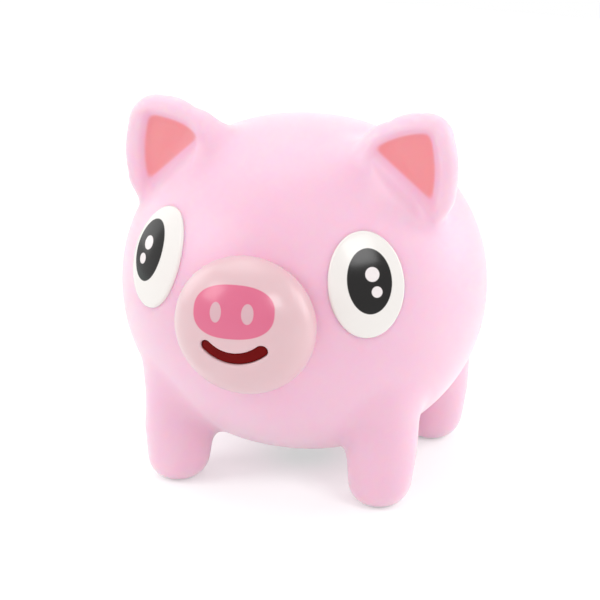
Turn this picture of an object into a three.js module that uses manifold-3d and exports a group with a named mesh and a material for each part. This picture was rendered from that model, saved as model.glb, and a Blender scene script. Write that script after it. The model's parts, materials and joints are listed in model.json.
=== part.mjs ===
// Squeeze pig: a hollow soft vinyl pig that puts its tongue out when its flanks are pressed.
// Millimetres, +Z up. The toy stands on z = 0 and looks along -Y, so +X is its own left side.
// Pressing the flanks drives air behind a piston, the piston pushes the tongue through the smile,
// a spring draws it back, and the air that escapes sounds a reed in the belly.

import * as THREE from 'three';
import { mergeVertices } from 'three/addons/utils/BufferGeometryUtils.js';
import Module from 'manifold-3d';

const wasm = await Module();
wasm.setup();

// Fits: the gap between pieces that touch, and the looser gap round the sliding tongue.
const CLEARANCE = 0.3;
const TONGUE_CLEARANCE = 0.35;

// Body: an egg of soft vinyl, cast hollow.
const BODY_WIDTH = 100;
const BODY_DEPTH = 91.8;
const BODY_HEIGHT = 91.2;
const BELLY_CLEARANCE = 6.3;
const SKIN_WALL = 2.4;

// Legs: four hollow pegs with round soles that widen a little towards the body.
const LEG_SPREAD = 57.2;
const FRONT_LEG_Y = -23.3;
const REAR_LEG_Y = 25.5;
const FOOT_RADIUS = 8;
const THIGH_RADIUS = 9.5;
const FOOT_ROUND = 4.8;
const LEG_TAPER_HEIGHT = 15;
const LEG_TOP_BELOW_CENTRE = 14.4;

// Ears: thick rounded triangles with a shallow dish in front. Corners are the centres of the corner
// rounds, across and up from the ear's own middle.
const EAR_FROM_SIDE = 10;
const EAR_FROM_TOP = 1.4;
const EAR_FORWARD = 12.4;
const EAR_CORNERS = [[-12.3, -1.5], [-2.6, -11.3], [-3.3, 1.3]];
const EAR_CORNER_RADIUS = 7.6;
const EAR_SIDE_BULGE = 0.8;
const EAR_THICKNESS = 8.6;
const EAR_EDGE_ROUND = 3.6;
const EAR_RIM = 4.4;
const EAR_DISH = 1.2;

// Tail: one open curl on the rump.
const TAIL_RISE = 6;
const TAIL_CURL_RADIUS = 4.2;
const TAIL_RADIUS = 1.9;
const TAIL_PITCH = 5;
const TAIL_TURNS = 1.2;
const TAIL_ROOT_DEPTH = 2;

// Eyes: oval inserts that follow the body, with a lip behind the skin.
const EYE_FROM_SIDE = 20.8;
const EYE_RISE = 15;
const EYE_WIDTH = 20.4;
const EYE_LENGTH = 27.6;
const EYE_PROUD = 0.7;
const EYE_LIP = 1.8;
const EYE_LIP_THICKNESS = 1.4;

// Flanks: the two oval stretches of wall that the fingers press.
const FLANK_BACK = 3;
const FLANK_RISE = 2;
const FLANK_LENGTH = 36;
const FLANK_HEIGHT = 30;

// Snout: a round button seated on the skin, on a short neck, with a smile cut through it.
const SNOUT_RISE = 5.3;
const SNOUT_PROUD = 16.3;
const SNOUT_RADIUS = 18.7;
const SNOUT_CROWN = 13;
const SNOUT_DEPTH = 26.2;
const SNOUT_WALL = 1.8;
const NECK_STEP = 2.1;

// Smile: an arc below the snout's axis, in proportion to the snout's radius, and the tongue behind it.
const SMILE_RADIUS = 0.62 * SNOUT_RADIUS;
const SMILE_DROP = 0.273 * SNOUT_RADIUS;
const SMILE_HALF_CHORD = 0.422 * SNOUT_RADIUS;
const SMILE_WIDTH = 3.3;
const TONGUE_RECESS = 2.2;
const TONGUE_TIP_ROUND = 0.6;
const TANG_HALF_CHORD = 4.6;
const TANG_DEPTH = 3;
const TANG_OVERLAP = 1;

// Mouth housing: a plate that closes the snout, a collar behind the skin and the piston's barrel.
const PLATE_THICKNESS = 2;
const COLLAR_WIDTH = 1.8;
const BARREL_WALL = 1.2;
const CAP_THICKNESS = 1.8;
const CAP_SPIGOT = 2.5;
const CAP_SPIGOT_WALL = 1.6;
const VENT_RADIUS = 1.8;
const VENT_CIRCLE = 4.6;
const VENT_COUNT = 3;

// Screws that draw the housing to the snout.
const SCREW_SHANK_RADIUS = 0.85;
const SCREW_LENGTH = 7;
const SCREW_HEAD_RADIUS = 1.6;
const SCREW_TOP_RADIUS = 1.1;
const SCREW_HEAD_HEIGHT = 1.3;
const SCREW_SLOT = 0.5;
const BOSS_RADIUS = 2.1;
const BOSS_LENGTH = 10;
const BOSS_FUSE = 0.9;
const SCREW_COUNT = 4;

// Piston, its seal and the return spring.
const TONGUE_TRAVEL = 18;
const PISTON_LAND = 1.4;
const SEAL_GROOVE_WIDTH = 2.2;
const SEAL_GROOVE_DEPTH = 2;
const SPRING_LENGTH = 28;
const SPRING_RADIUS = 3.6;
const SPRING_WIRE = 0.9;
const SPRING_COILS = 6;
const SPRING_LIFT = 2.4;

// Squeaker in the belly: a flanged cup, a reed holder, a reed and the clip that grips it.
const CUP_RADIUS = 7;
const CUP_WALL = 1.2;
const CUP_HEIGHT = 11;
const CUP_FLANGE = 2.4;
const CUP_FLANGE_THICKNESS = 1;
const CUP_BARB = 1;
const CUP_BARB_THICKNESS = 1.2;
const SEAT_DEPTH = 1;
const GRILLE_RADIUS = 0.9;
const GRILLE_CIRCLE = 3;
const GRILLE_COUNT = 6;
const REED_WIDTH = 3.4;
const REED_LENGTH = 6;
const REED_THICKNESS = 0.4;
const REED_SLOT = 3;
const REED_CLIP_LENGTH = 2;
const REED_CLIP_BACK = 0.8;

// Facets round each kind of shape, and the distance within which corners are one.
const BODY_FACETS = 40;
const BODY_RINGS = 24;
const ROUND_FACETS = 28;
const LEG_FACETS = 20;
const SMALL_FACETS = 10;
const WIRE_FACETS = 6;
const TAIL_FACETS = 10;
const TAIL_STEPS = 28;
const ARC_STEPS = 8;
const LEG_ARC_STEPS = 4;
const EXTRUDED_ARC_STEPS = 3;
const WELD_DISTANCE = 1e-4;

// Places that follow from the sizes above.
const halfWidth = BODY_WIDTH / 2;
const halfDepth = BODY_DEPTH / 2;
const halfHeight = BODY_HEIGHT / 2;
const bodyZ = BELLY_CLEARANCE + halfHeight;
const bodyTop = bodyZ + halfHeight;
const snoutZ = bodyZ + SNOUT_RISE;
const snoutFrontY = -halfDepth - SNOUT_PROUD;
const snoutRearY = snoutFrontY + SNOUT_DEPTH;
const neckRadius = SNOUT_RADIUS - NECK_STEP;
const openingRadius = neckRadius + CLEARANCE;
const collarRadius = openingRadius + COLLAR_WIDTH;
const plateFrontY = snoutRearY + CLEARANCE;
const plateRearY = plateFrontY + PLATE_THICKNESS;
const screwCircle = neckRadius - SNOUT_WALL - BOSS_RADIUS + BOSS_FUSE;
const barrelRadius = screwCircle - SCREW_HEAD_RADIUS - CLEARANCE;
const barrelBore = barrelRadius - BARREL_WALL;
const pistonFrontY = plateRearY + SPRING_LENGTH;
const pistonRearY = pistonFrontY + 2 * PISTON_LAND + SEAL_GROOVE_WIDTH;
const pistonRadius = barrelBore - CLEARANCE;
const barrelRearY = pistonRearY + CLEARANCE + CAP_SPIGOT;
const postRadius = SPRING_RADIUS - SPRING_WIRE / 2 - CLEARANCE;
const postLength = (SPRING_LENGTH - TONGUE_TRAVEL - 3 * CLEARANCE) / 2;
const smileZ = SMILE_RADIUS - SMILE_DROP;

// Colours and finishes.
function finish(color, roughness, metalness = 0) {
  return new THREE.MeshStandardMaterial({ color, roughness, metalness });
}
const pinkVinyl = finish('#f6cfe0', 0.45);
const whitePlastic = finish('#f6f3f0', 0.15);
const pinkPlastic = finish('#ebc9cc', 0.25);
const redVinyl = finish('#7a1a18', 0.4);
const whiteAcetal = finish('#dfe2e4', 0.4);
const blackRubber = finish('#2b2b2d', 0.7);
const steel = finish('#b8bcc0', 0.3, 1);

// A closed three.js geometry as a solid: shared corners merged, empty triangles dropped, faces out.
function solid(geometry) {
  const bare = geometry.clone();
  bare.deleteAttribute('normal');
  bare.deleteAttribute('uv');
  const merged = mergeVertices(bare, WELD_DISTANCE);
  const points = merged.attributes.position;
  const triangles = [];
  let volume = 0;
  const [a, b, c] = [new THREE.Vector3(), new THREE.Vector3(), new THREE.Vector3()];
  for (let i = 0; i < merged.index.count; i += 3) {
    const [p, q, r] = [0, 1, 2].map((k) => merged.index.getX(i + k));
    if (p === q || q === r || r === p) continue;
    triangles.push(p, q, r);
    a.fromBufferAttribute(points, p);
    b.fromBufferAttribute(points, q);
    c.fromBufferAttribute(points, r);
    volume += a.dot(b.cross(c));
  }
  if (volume < 0) triangles.reverse();
  return new wasm.Manifold(new wasm.Mesh({
    numProp: 3,
    vertProperties: new Float32Array(points.array),
    triVerts: new Uint32Array(triangles),
  }));
}

function piece(name, body, material) {
  const { vertProperties, triVerts } = body.getMesh();
  const geometry = new THREE.BufferGeometry();
  geometry.setAttribute('position', new THREE.BufferAttribute(vertProperties, 3));
  geometry.setIndex(new THREE.BufferAttribute(triVerts, 1));
  geometry.computeVertexNormals();
  const mesh = new THREE.Mesh(geometry, material);
  mesh.name = name;
  return mesh;
}

// A rod along Y from one end to the other, on an axis at (x, z).
function rod(radius, fromY, toY, x = 0, z = 0, facets = ROUND_FACETS) {
  const geometry = new THREE.CylinderGeometry(radius, radius, toY - fromY, facets);
  return solid(geometry.translate(x, (fromY + toY) / 2, z));
}

// A peg along Z, on an axis at (x, y).
function peg(radius, fromZ, toZ, x = 0, y = 0, facets = ROUND_FACETS) {
  const geometry = new THREE.CylinderGeometry(radius, radius, toZ - fromZ, facets);
  return solid(geometry.rotateX(Math.PI / 2).translate(x, y, (fromZ + toZ) / 2));
}

function block(sizeX, sizeY, fromZ, toZ) {
  const geometry = new THREE.BoxGeometry(sizeX, sizeY, toZ - fromZ);
  return solid(geometry.translate(0, 0, (fromZ + toZ) / 2));
}

// A turned piece: pairs of radius and place along Y.
function turned(profile, facets = ROUND_FACETS) {
  const points = profile.map(([radius, y]) => new THREE.Vector2(radius, y));
  return solid(new THREE.LatheGeometry(points, facets));
}

// The body's egg, grown or shrunk by an offset, so that skins and inserts share its facets.
function egg(offset, lift = bodyZ) {
  const geometry = new THREE.SphereGeometry(1, BODY_FACETS, BODY_RINGS);
  geometry.scale(halfWidth + offset, halfDepth + offset, halfHeight + offset);
  return solid(geometry.translate(0, 0, lift));
}

// An oval punch along an axis through a point, with its long side along "up".
function punch(centre, axis, up, width, length, reach) {
  const across = new THREE.Vector3().crossVectors(axis, up).normalize();
  const along = new THREE.Vector3().crossVectors(across, axis).normalize();
  const geometry = new THREE.CylinderGeometry(1, 1, 2 * reach, ROUND_FACETS);
  geometry.scale(width / 2, 1, length / 2);
  const frame = new THREE.Matrix4().makeBasis(across, axis, along.clone().negate());
  return solid(geometry.applyMatrix4(frame.setPosition(centre)));
}

// A leg: a round-edged foot, a taper, a straight part and a ball at the top that sinks into the body.
function leg(inset, x, y) {
  const foot = FOOT_RADIUS - inset;
  const thigh = THIGH_RADIUS - inset;
  const round = FOOT_ROUND - inset;
  const thighZ = bodyZ - LEG_TOP_BELOW_CENTRE - THIGH_RADIUS;
  const quarter = Array.from({ length: LEG_ARC_STEPS + 1 }, (_, i) => (i / LEG_ARC_STEPS) * Math.PI / 2);
  const profile = [
    [0, inset],
    ...quarter.map((turn) => [foot - round * (1 - Math.sin(turn)), inset + round * (1 - Math.cos(turn))]),
    [thigh, LEG_TAPER_HEIGHT],
    ...quarter.map((turn) => [thigh * Math.cos(turn), thighZ + thigh * Math.sin(turn)]),
  ];
  const points = profile.map(([radius, z]) => new THREE.Vector2(radius, z));
  return solid(new THREE.LatheGeometry(points, LEG_FACETS).rotateX(Math.PI / 2).translate(x, y, 0));
}

function legs(inset) {
  const places = [FRONT_LEG_Y, REAR_LEG_Y].flatMap((y) => [[LEG_SPREAD / 2, y], [-LEG_SPREAD / 2, y]]);
  return places.map(([x, y]) => leg(inset, x, y)).reduce((all, next) => all.add(next));
}

// A triangle whose corners are rounds of one radius and whose sides bulge a little.
function roundedTriangle(corners, radius, bulge) {
  const [a, b, c] = corners.map(([u, v]) => new THREE.Vector2(u, v));
  const turnsLeft = b.clone().sub(a).cross(c.clone().sub(a)) > 0;
  const ring = turnsLeft ? [a, b, c] : [a, c, b];
  const outward = ring.map((p, i) => {
    const side = ring[(i + 1) % 3].clone().sub(p);
    return Math.atan2(-side.x, side.y);
  });
  const shape = new THREE.Shape();
  ring.forEach((p, i) => {
    const next = ring[(i + 1) % 3];
    const out = new THREE.Vector2(Math.cos(outward[i]), Math.sin(outward[i]));
    const crest = p.clone().lerp(next, 0.5).addScaledVector(out, radius + 2 * bulge);
    const end = next.clone().addScaledVector(out, radius);
    shape.absarc(p.x, p.y, radius, outward[(i + 2) % 3], outward[i], false);
    shape.quadraticCurveTo(crest.x, crest.y, end.x, end.y);
  });
  return shape;
}

// One ear, dished in front; side is 1 for the left ear and -1 for the right.
function ear(side) {
  const corners = EAR_CORNERS.map(([u, v]) => [side * u, v]);
  const outline = roundedTriangle(corners, EAR_CORNER_RADIUS - EAR_EDGE_ROUND, EAR_SIDE_BULGE);
  const flap = new THREE.ExtrudeGeometry(outline, {
    depth: EAR_THICKNESS - 2 * EAR_EDGE_ROUND,
    bevelThickness: EAR_EDGE_ROUND,
    bevelSize: EAR_EDGE_ROUND,
    bevelSegments: EXTRUDED_ARC_STEPS,
    curveSegments: EXTRUDED_ARC_STEPS,
  });
  flap.translate(0, 0, EAR_EDGE_ROUND - EAR_THICKNESS / 2);
  const dishOutline = roundedTriangle(corners, EAR_CORNER_RADIUS - EAR_RIM, EAR_SIDE_BULGE);
  const dish = new THREE.ExtrudeGeometry(dishOutline, {
    depth: 2 * EAR_DISH,
    bevelEnabled: false,
    curveSegments: EXTRUDED_ARC_STEPS,
  });
  dish.translate(0, 0, EAR_THICKNESS / 2 - EAR_DISH);
  const x = side * (halfWidth - EAR_FROM_SIDE);
  const z = bodyTop - EAR_FROM_TOP;
  const upright = (form) => solid(form.rotateX(Math.PI / 2).translate(x, -EAR_FORWARD, z));
  return upright(flap).subtract(upright(dish));
}

// A helix along Y.
class Helix extends THREE.Curve {
  constructor(radius, fromY, toY, turns, z) {
    super();
    Object.assign(this, { radius, fromY, toY, turns, z });
  }

  getPoint(t, target = new THREE.Vector3()) {
    const angle = 2 * Math.PI * this.turns * t;
    const y = this.fromY + (this.toY - this.fromY) * t;
    return target.set(this.radius * Math.sin(angle), y, this.z - this.radius * Math.cos(angle));
  }
}

function wire(curve, radius, steps, facets) {
  const section = new THREE.Shape().absarc(0, 0, radius, 0, 2 * Math.PI, false);
  const options = { extrudePath: curve, steps, curveSegments: facets / 2, bevelEnabled: false };
  return solid(new THREE.ExtrudeGeometry(section, options));
}

function tail() {
  const rootY = halfDepth - TAIL_ROOT_DEPTH;
  const tipY = rootY + TAIL_PITCH * TAIL_TURNS;
  const curl = new Helix(TAIL_CURL_RADIUS, rootY, tipY, TAIL_TURNS, bodyZ + TAIL_RISE);
  return wire(curl, TAIL_RADIUS, TAIL_STEPS, TAIL_FACETS);
}

// Where an eye sits on the body, and which way it looks.
function eyeSeat(side) {
  const x = side * (halfWidth - EYE_FROM_SIDE);
  const y = -halfDepth * Math.sqrt(1 - (x / halfWidth) ** 2 - (EYE_RISE / halfHeight) ** 2);
  const looks = new THREE.Vector3(x / halfWidth ** 2, y / halfDepth ** 2, EYE_RISE / halfHeight ** 2);
  return { centre: new THREE.Vector3(x, y, bodyZ + EYE_RISE), looks: looks.normalize() };
}

function eyePunch(side, grow) {
  const { centre, looks } = eyeSeat(side);
  const up = new THREE.Vector3(0, 0, 1);
  return punch(centre, looks, up, EYE_WIDTH + 2 * grow, EYE_LENGTH + 2 * grow, EYE_WIDTH / 2);
}

function eye(side) {
  const lens = egg(EYE_PROUD).intersect(eyePunch(side, 0));
  const lip = egg(-SKIN_WALL - CLEARANCE).intersect(eyePunch(side, EYE_LIP));
  const collarRoom = rod(collarRadius + CLEARANCE, snoutFrontY, 0, 0, snoutZ).intersect(egg(-SKIN_WALL));
  return lens.add(lip).subtract(egg(-SKIN_WALL - CLEARANCE - EYE_LIP_THICKNESS)).subtract(collarRoom);
}

function flankPunch(side, shrink) {
  const centre = new THREE.Vector3(side * halfWidth, FLANK_BACK, bodyZ + FLANK_RISE);
  const axis = new THREE.Vector3(side, 0, 0);
  const along = new THREE.Vector3(0, 1, 0);
  return punch(centre, axis, along, FLANK_HEIGHT - 2 * shrink, FLANK_LENGTH - 2 * shrink, halfWidth / 2);
}

function flank(side) {
  return egg(0).subtract(egg(-SKIN_WALL)).intersect(flankPunch(side, CLEARANCE));
}

// Height of the skin's inner floor, or of the belly outside it, at a distance from the middle.
function bellyHeight(inset, distance) {
  return bodyZ - (halfHeight - inset) * Math.sqrt(1 - (distance / (halfDepth - inset)) ** 2);
}
const seatZ = BELLY_CLEARANCE + SEAT_DEPTH;
const flangeRadius = CUP_RADIUS + CUP_FLANGE;

function bodySkin() {
  const outside = egg(0).add(legs(0)).add(ear(1)).add(ear(-1)).add(tail());
  const inside = egg(-SKIN_WALL).add(legs(SKIN_WALL));
  const seat = peg(flangeRadius + CLEARANCE, 0, seatZ);
  const cupHole = peg(CUP_RADIUS + CLEARANCE, 0, bodyZ / 2);
  const snoutHole = rod(openingRadius, snoutFrontY, plateRearY, 0, snoutZ);
  const cuts = [inside, seat, cupHole, snoutHole];
  cuts.push(...[1, -1].flatMap((side) => [eyePunch(side, CLEARANCE), flankPunch(side, 0)]));
  return cuts.reduce((rest, cut) => rest.subtract(cut), outside);
}

// The snout unit is built on its own axis: Y, at z = 0.
function smile(halfWidthOfSlot, halfChord, fromY, toY) {
  const spread = Math.asin(halfChord / SMILE_RADIUS);
  const down = -Math.PI / 2;
  const shape = new THREE.Shape();
  const end = (turn) => [SMILE_RADIUS * Math.cos(turn), smileZ + SMILE_RADIUS * Math.sin(turn)];
  shape.absarc(0, smileZ, SMILE_RADIUS + halfWidthOfSlot, down - spread, down + spread, false);
  shape.absarc(...end(down + spread), halfWidthOfSlot, down + spread, down + spread + Math.PI, false);
  shape.absarc(0, smileZ, SMILE_RADIUS - halfWidthOfSlot, down + spread, down - spread, true);
  shape.absarc(...end(down - spread), halfWidthOfSlot, down - spread - Math.PI, down - spread, false);
  const options = { depth: toY - fromY, bevelEnabled: false, curveSegments: EXTRUDED_ARC_STEPS };
  return solid(new THREE.ExtrudeGeometry(shape, options).rotateX(Math.PI / 2).translate(0, toY, 0));
}
const screwPlaces = Array.from({ length: SCREW_COUNT }, (_, i) => {
  const turn = 2 * Math.PI * (i + 0.5) / SCREW_COUNT;
  return [screwCircle * Math.cos(turn), screwCircle * Math.sin(turn)];
});

function snoutDome() {
  const girthY = snoutFrontY + SNOUT_CROWN;
  const bore = neckRadius - SNOUT_WALL;
  const arc = (radius, rise, lastTurn) => Array.from({ length: ARC_STEPS + 1 }, (_, i) => {
    const turn = lastTurn * i / ARC_STEPS;
    return [radius * Math.sin(turn), girthY - rise * Math.cos(turn)];
  });
  const backTurn = Math.PI - Math.asin(neckRadius / SNOUT_RADIUS);
  const backY = girthY - SNOUT_CROWN * Math.cos(backTurn);
  const button = turned([...arc(SNOUT_RADIUS, SNOUT_CROWN, backTurn), [0, backY]]);
  const crown = arc(bore, SNOUT_CROWN - SNOUT_WALL, Math.PI / 2);
  const hollow = turned([...crown, [bore, plateRearY], [0, plateRearY]]);
  let dome = button.subtract(egg(CLEARANCE, bodyZ - snoutZ));
  dome = dome.add(rod(neckRadius, girthY, snoutRearY)).subtract(hollow);
  for (const [x, z] of screwPlaces) {
    dome = dome.add(rod(BOSS_RADIUS, snoutRearY - BOSS_LENGTH, snoutRearY, x, z, SMALL_FACETS));
  }
  for (const [x, z] of screwPlaces) {
    const pilotEnd = plateFrontY - SCREW_LENGTH - CLEARANCE;
    dome = dome.subtract(rod(SCREW_SHANK_RADIUS + CLEARANCE, pilotEnd, plateRearY, x, z, SMALL_FACETS));
  }
  return dome.subtract(smile(SMILE_WIDTH / 2, SMILE_HALF_CHORD, snoutFrontY, girthY));
}

function mouthHousing() {
  const insideSkin = egg(-SKIN_WALL - CLEARANCE, bodyZ - snoutZ);
  let housing = rod(collarRadius, -halfDepth, plateRearY).intersect(insideSkin);
  housing = housing.subtract(rod(openingRadius, snoutFrontY, plateFrontY));
  housing = housing.add(rod(barrelRadius, plateFrontY, barrelRearY));
  housing = housing.subtract(rod(barrelBore, plateRearY, barrelRearY + CLEARANCE));
  const postEnd = plateRearY + postLength;
  housing = housing.add(rod(postRadius, plateFrontY, postEnd, 0, SPRING_LIFT, SMALL_FACETS));
  for (const [x, z] of screwPlaces) {
    const hole = rod(SCREW_SHANK_RADIUS + CLEARANCE, snoutRearY, barrelRearY, x, z, SMALL_FACETS);
    housing = housing.subtract(hole);
  }
  return housing.subtract(smile(SMILE_WIDTH / 2, SMILE_HALF_CHORD, snoutFrontY, plateRearY + CLEARANCE));
}

function endCap() {
  const spigotRadius = barrelBore - CLEARANCE;
  const frontY = barrelRearY + CLEARANCE;
  let cap = turned([
    [0, frontY],
    [spigotRadius - CAP_SPIGOT_WALL, frontY],
    [spigotRadius - CAP_SPIGOT_WALL, barrelRearY - CAP_SPIGOT],
    [spigotRadius, barrelRearY - CAP_SPIGOT],
    [spigotRadius, frontY],
    [barrelRadius, frontY],
    [barrelRadius, frontY + CAP_THICKNESS],
    [0, frontY + CAP_THICKNESS],
  ]);
  for (let i = 0; i < VENT_COUNT; i++) {
    const turn = 2 * Math.PI * i / VENT_COUNT;
    const [x, z] = [VENT_CIRCLE * Math.sin(turn), VENT_CIRCLE * Math.cos(turn)];
    cap = cap.subtract(rod(VENT_RADIUS, barrelRearY, frontY + 2 * CAP_THICKNESS, x, z, SMALL_FACETS));
  }
  return cap;
}

function screw(x, z) {
  const underHead = plateRearY + CLEARANCE;
  const tip = plateFrontY - SCREW_LENGTH;
  const top = underHead + SCREW_HEAD_HEIGHT;
  const body = turned([
    [0, tip],
    [SCREW_SHANK_RADIUS, tip + SCREW_SHANK_RADIUS],
    [SCREW_SHANK_RADIUS, underHead],
    [SCREW_HEAD_RADIUS, underHead],
    [SCREW_HEAD_RADIUS, underHead + SCREW_HEAD_HEIGHT / 2],
    [SCREW_TOP_RADIUS, top],
    [0, top],
  ], SMALL_FACETS);
  const slot = new THREE.BoxGeometry(3 * SCREW_HEAD_RADIUS, 2 * SCREW_SLOT, SCREW_SLOT);
  const mesh = piece('', body.subtract(solid(slot.translate(0, top, 0))), steel);
  mesh.position.set(x, 0, z);
  return mesh;
}

function piston() {
  const grooveRadius = pistonRadius - SEAL_GROOVE_DEPTH;
  const disc = turned([
    [0, pistonFrontY],
    [pistonRadius, pistonFrontY],
    [pistonRadius, pistonFrontY + PISTON_LAND],
    [grooveRadius, pistonFrontY + PISTON_LAND],
    [grooveRadius, pistonRearY - PISTON_LAND],
    [pistonRadius, pistonRearY - PISTON_LAND],
    [pistonRadius, pistonRearY],
    [0, pistonRearY],
  ]);
  const post = rod(postRadius, pistonFrontY - postLength, pistonRearY, 0, SPRING_LIFT, SMALL_FACETS);
  const mouthY = pistonFrontY - TANG_OVERLAP;
  const floorY = pistonFrontY + TANG_DEPTH + CLEARANCE;
  const socket = smile(SMILE_WIDTH / 2, TANG_HALF_CHORD, mouthY, floorY);
  return disc.add(post).subtract(socket);
}

function pistonSeal() {
  const inner = pistonRadius - SEAL_GROOVE_DEPTH + CLEARANCE;
  const front = pistonFrontY + PISTON_LAND + CLEARANCE;
  const rear = pistonRearY - PISTON_LAND - CLEARANCE;
  return rod(pistonRadius, front, rear).subtract(rod(inner, pistonFrontY, pistonRearY));
}

function tongue() {
  const half = SMILE_WIDTH / 2 - TONGUE_CLEARANCE;
  const tipY = snoutFrontY + TONGUE_RECESS;
  const tip = smile(half - TONGUE_TIP_ROUND / 2, SMILE_HALF_CHORD, tipY, tipY + 2 * TONGUE_TIP_ROUND);
  const blade = smile(half, SMILE_HALF_CHORD, tipY + TONGUE_TIP_ROUND, pistonFrontY - CLEARANCE);
  const tang = smile(half, TANG_HALF_CHORD, pistonFrontY - TANG_OVERLAP, pistonFrontY + TANG_DEPTH);
  return tip.add(blade).add(tang);
}

function returnSpring() {
  const end = CLEARANCE + SPRING_WIRE / 2;
  const helix = new Helix(SPRING_RADIUS, plateRearY + end, pistonFrontY - end, SPRING_COILS, SPRING_LIFT);
  return wire(helix, SPRING_WIRE / 2, SPRING_COILS * SMALL_FACETS, WIRE_FACETS);
}

// The squeaker is built on its own axis: Z, through the middle of the belly.
const flangeTop = seatZ - CLEARANCE;
const cupTop = flangeTop + CUP_HEIGHT;
const cupBore = CUP_RADIUS - CUP_WALL;
const holderRadius = cupBore - CLEARANCE;
const holderFoot = flangeTop + CUP_FLANGE_THICKNESS;
const clipTop = cupTop - CLEARANCE;
const clipFoot = clipTop - REED_CLIP_LENGTH;
const reedTop = clipTop - REED_CLIP_BACK - CLEARANCE;

function squeakerCup() {
  const barbRadius = CUP_RADIUS + CUP_BARB;
  const barbZ = bellyHeight(SKIN_WALL, barbRadius) + CLEARANCE;
  let cup = peg(flangeRadius, flangeTop - CUP_FLANGE_THICKNESS, flangeTop);
  cup = cup.add(peg(CUP_RADIUS, flangeTop - CUP_FLANGE_THICKNESS, cupTop));
  cup = cup.add(peg(barbRadius, barbZ, barbZ + CUP_BARB_THICKNESS));
  cup = cup.subtract(peg(cupBore, holderFoot - CLEARANCE, cupTop + CLEARANCE));
  for (let i = 0; i < GRILLE_COUNT; i++) {
    const turn = 2 * Math.PI * i / GRILLE_COUNT;
    const [x, y] = [GRILLE_CIRCLE * Math.cos(turn), GRILLE_CIRCLE * Math.sin(turn)];
    cup = cup.subtract(peg(GRILLE_RADIUS, 0, holderFoot, x, y, SMALL_FACETS));
  }
  return cup;
}

function reedHolder() {
  const slot = block(REED_WIDTH + 4 * CLEARANCE, REED_SLOT, 0, cupTop + CLEARANCE);
  return peg(holderRadius, holderFoot, clipTop).subtract(slot);
}

function reedClip() {
  const jaw = block(REED_WIDTH + 2 * CLEARANCE, REED_SLOT - 2 * CLEARANCE, clipFoot, clipTop);
  return jaw.subtract(block(2 * REED_WIDTH, REED_THICKNESS + 2 * CLEARANCE, 0, reedTop + CLEARANCE));
}

function squeakerReed() {
  return block(REED_WIDTH, REED_THICKNESS, reedTop - REED_LENGTH, reedTop);
}

// The toy: skin and inserts, the snout unit on its axis, and the squeaker.
const snoutUnit = new THREE.Group();
snoutUnit.position.z = snoutZ;
snoutUnit.add(
  piece('snout_dome', snoutDome(), pinkPlastic),
  piece('mouth_housing', mouthHousing(), whiteAcetal),
  piece('barrel_end_cap', endCap(), whiteAcetal),
  piece('piston', piston(), whiteAcetal),
  piece('piston_seal', pistonSeal(), blackRubber),
  piece('tongue', tongue(), redVinyl),
  piece('return_spring', returnSpring(), steel),
);
screwPlaces.forEach(([x, z], i) => {
  const housingScrew = screw(x, z);
  housingScrew.name = `housing_screw_${i + 1}`;
  snoutUnit.add(housingScrew);
});

const squeaker = new THREE.Group();
squeaker.add(
  piece('squeaker_cup', squeakerCup(), whiteAcetal),
  piece('reed_holder', reedHolder(), whiteAcetal),
  piece('reed_clip', reedClip(), whiteAcetal),
  piece('squeaker_reed', squeakerReed(), steel),
);

const pig = new THREE.Group();
pig.add(
  piece('body_skin', bodySkin(), pinkVinyl),
  piece('left_flank', flank(1), pinkVinyl),
  piece('right_flank', flank(-1), pinkVinyl),
  piece('left_eye', eye(1), whitePlastic),
  piece('right_eye', eye(-1), whitePlastic),
  snoutUnit,
  squeaker,
);

// The origin is on the floor under the middle of the toy's length, from snout to tail.
pig.updateMatrixWorld(true);
const reach = new THREE.Box3().setFromObject(pig, true);
pig.position.y = -(reach.min.y + reach.max.y) / 2;

export default pig;
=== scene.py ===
# %% [markdown]
# # A squeeze pig in soft vinyl
#
# The toy is a hollow pink pig on four stubby legs. Press its flanks and a dark red tongue slides out
# through the smile in its milky snout; let go and a spring draws it back. A CAD frame already holds every
# piece at its real size, and the joints. This lesson dresses that frame. It draws the skin, eyes, snout,
# tongue and spring again as smooth surfaces, gives every piece a real material, and lights the toy on a
# white table.

# %% Load the frame, with helpers that measure and dress its parts
import json

import bpy
import numpy as np
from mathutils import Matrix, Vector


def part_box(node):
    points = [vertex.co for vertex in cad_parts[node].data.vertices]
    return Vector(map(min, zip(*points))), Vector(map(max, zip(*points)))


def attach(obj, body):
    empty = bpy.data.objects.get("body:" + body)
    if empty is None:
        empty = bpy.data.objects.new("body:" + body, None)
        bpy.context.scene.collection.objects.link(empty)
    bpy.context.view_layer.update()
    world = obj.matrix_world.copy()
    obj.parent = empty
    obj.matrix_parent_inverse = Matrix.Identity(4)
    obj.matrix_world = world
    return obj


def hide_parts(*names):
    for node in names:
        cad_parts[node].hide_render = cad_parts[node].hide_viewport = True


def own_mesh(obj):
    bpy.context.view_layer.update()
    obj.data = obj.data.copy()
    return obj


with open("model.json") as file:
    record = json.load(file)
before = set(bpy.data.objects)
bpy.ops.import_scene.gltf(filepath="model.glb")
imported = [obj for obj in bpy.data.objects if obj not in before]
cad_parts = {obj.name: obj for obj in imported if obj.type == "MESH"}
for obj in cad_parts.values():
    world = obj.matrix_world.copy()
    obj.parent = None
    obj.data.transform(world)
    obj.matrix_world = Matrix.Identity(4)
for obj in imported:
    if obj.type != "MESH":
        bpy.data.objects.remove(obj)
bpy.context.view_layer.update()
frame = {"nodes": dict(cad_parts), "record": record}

# %% [markdown]
# ## Where the body stands
#
# All shapes below are written in millimetres, in the pig's own frame: z = 0 is the table, the pig looks
# along -Y and +X is its left. The CAD frame counts Y from the middle of the whole toy, so the body's
# upright axis has to be found. It is read from the squeaker cup, which sits exactly under the middle of
# the belly, so it stays right if the CAD sizes change.

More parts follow.
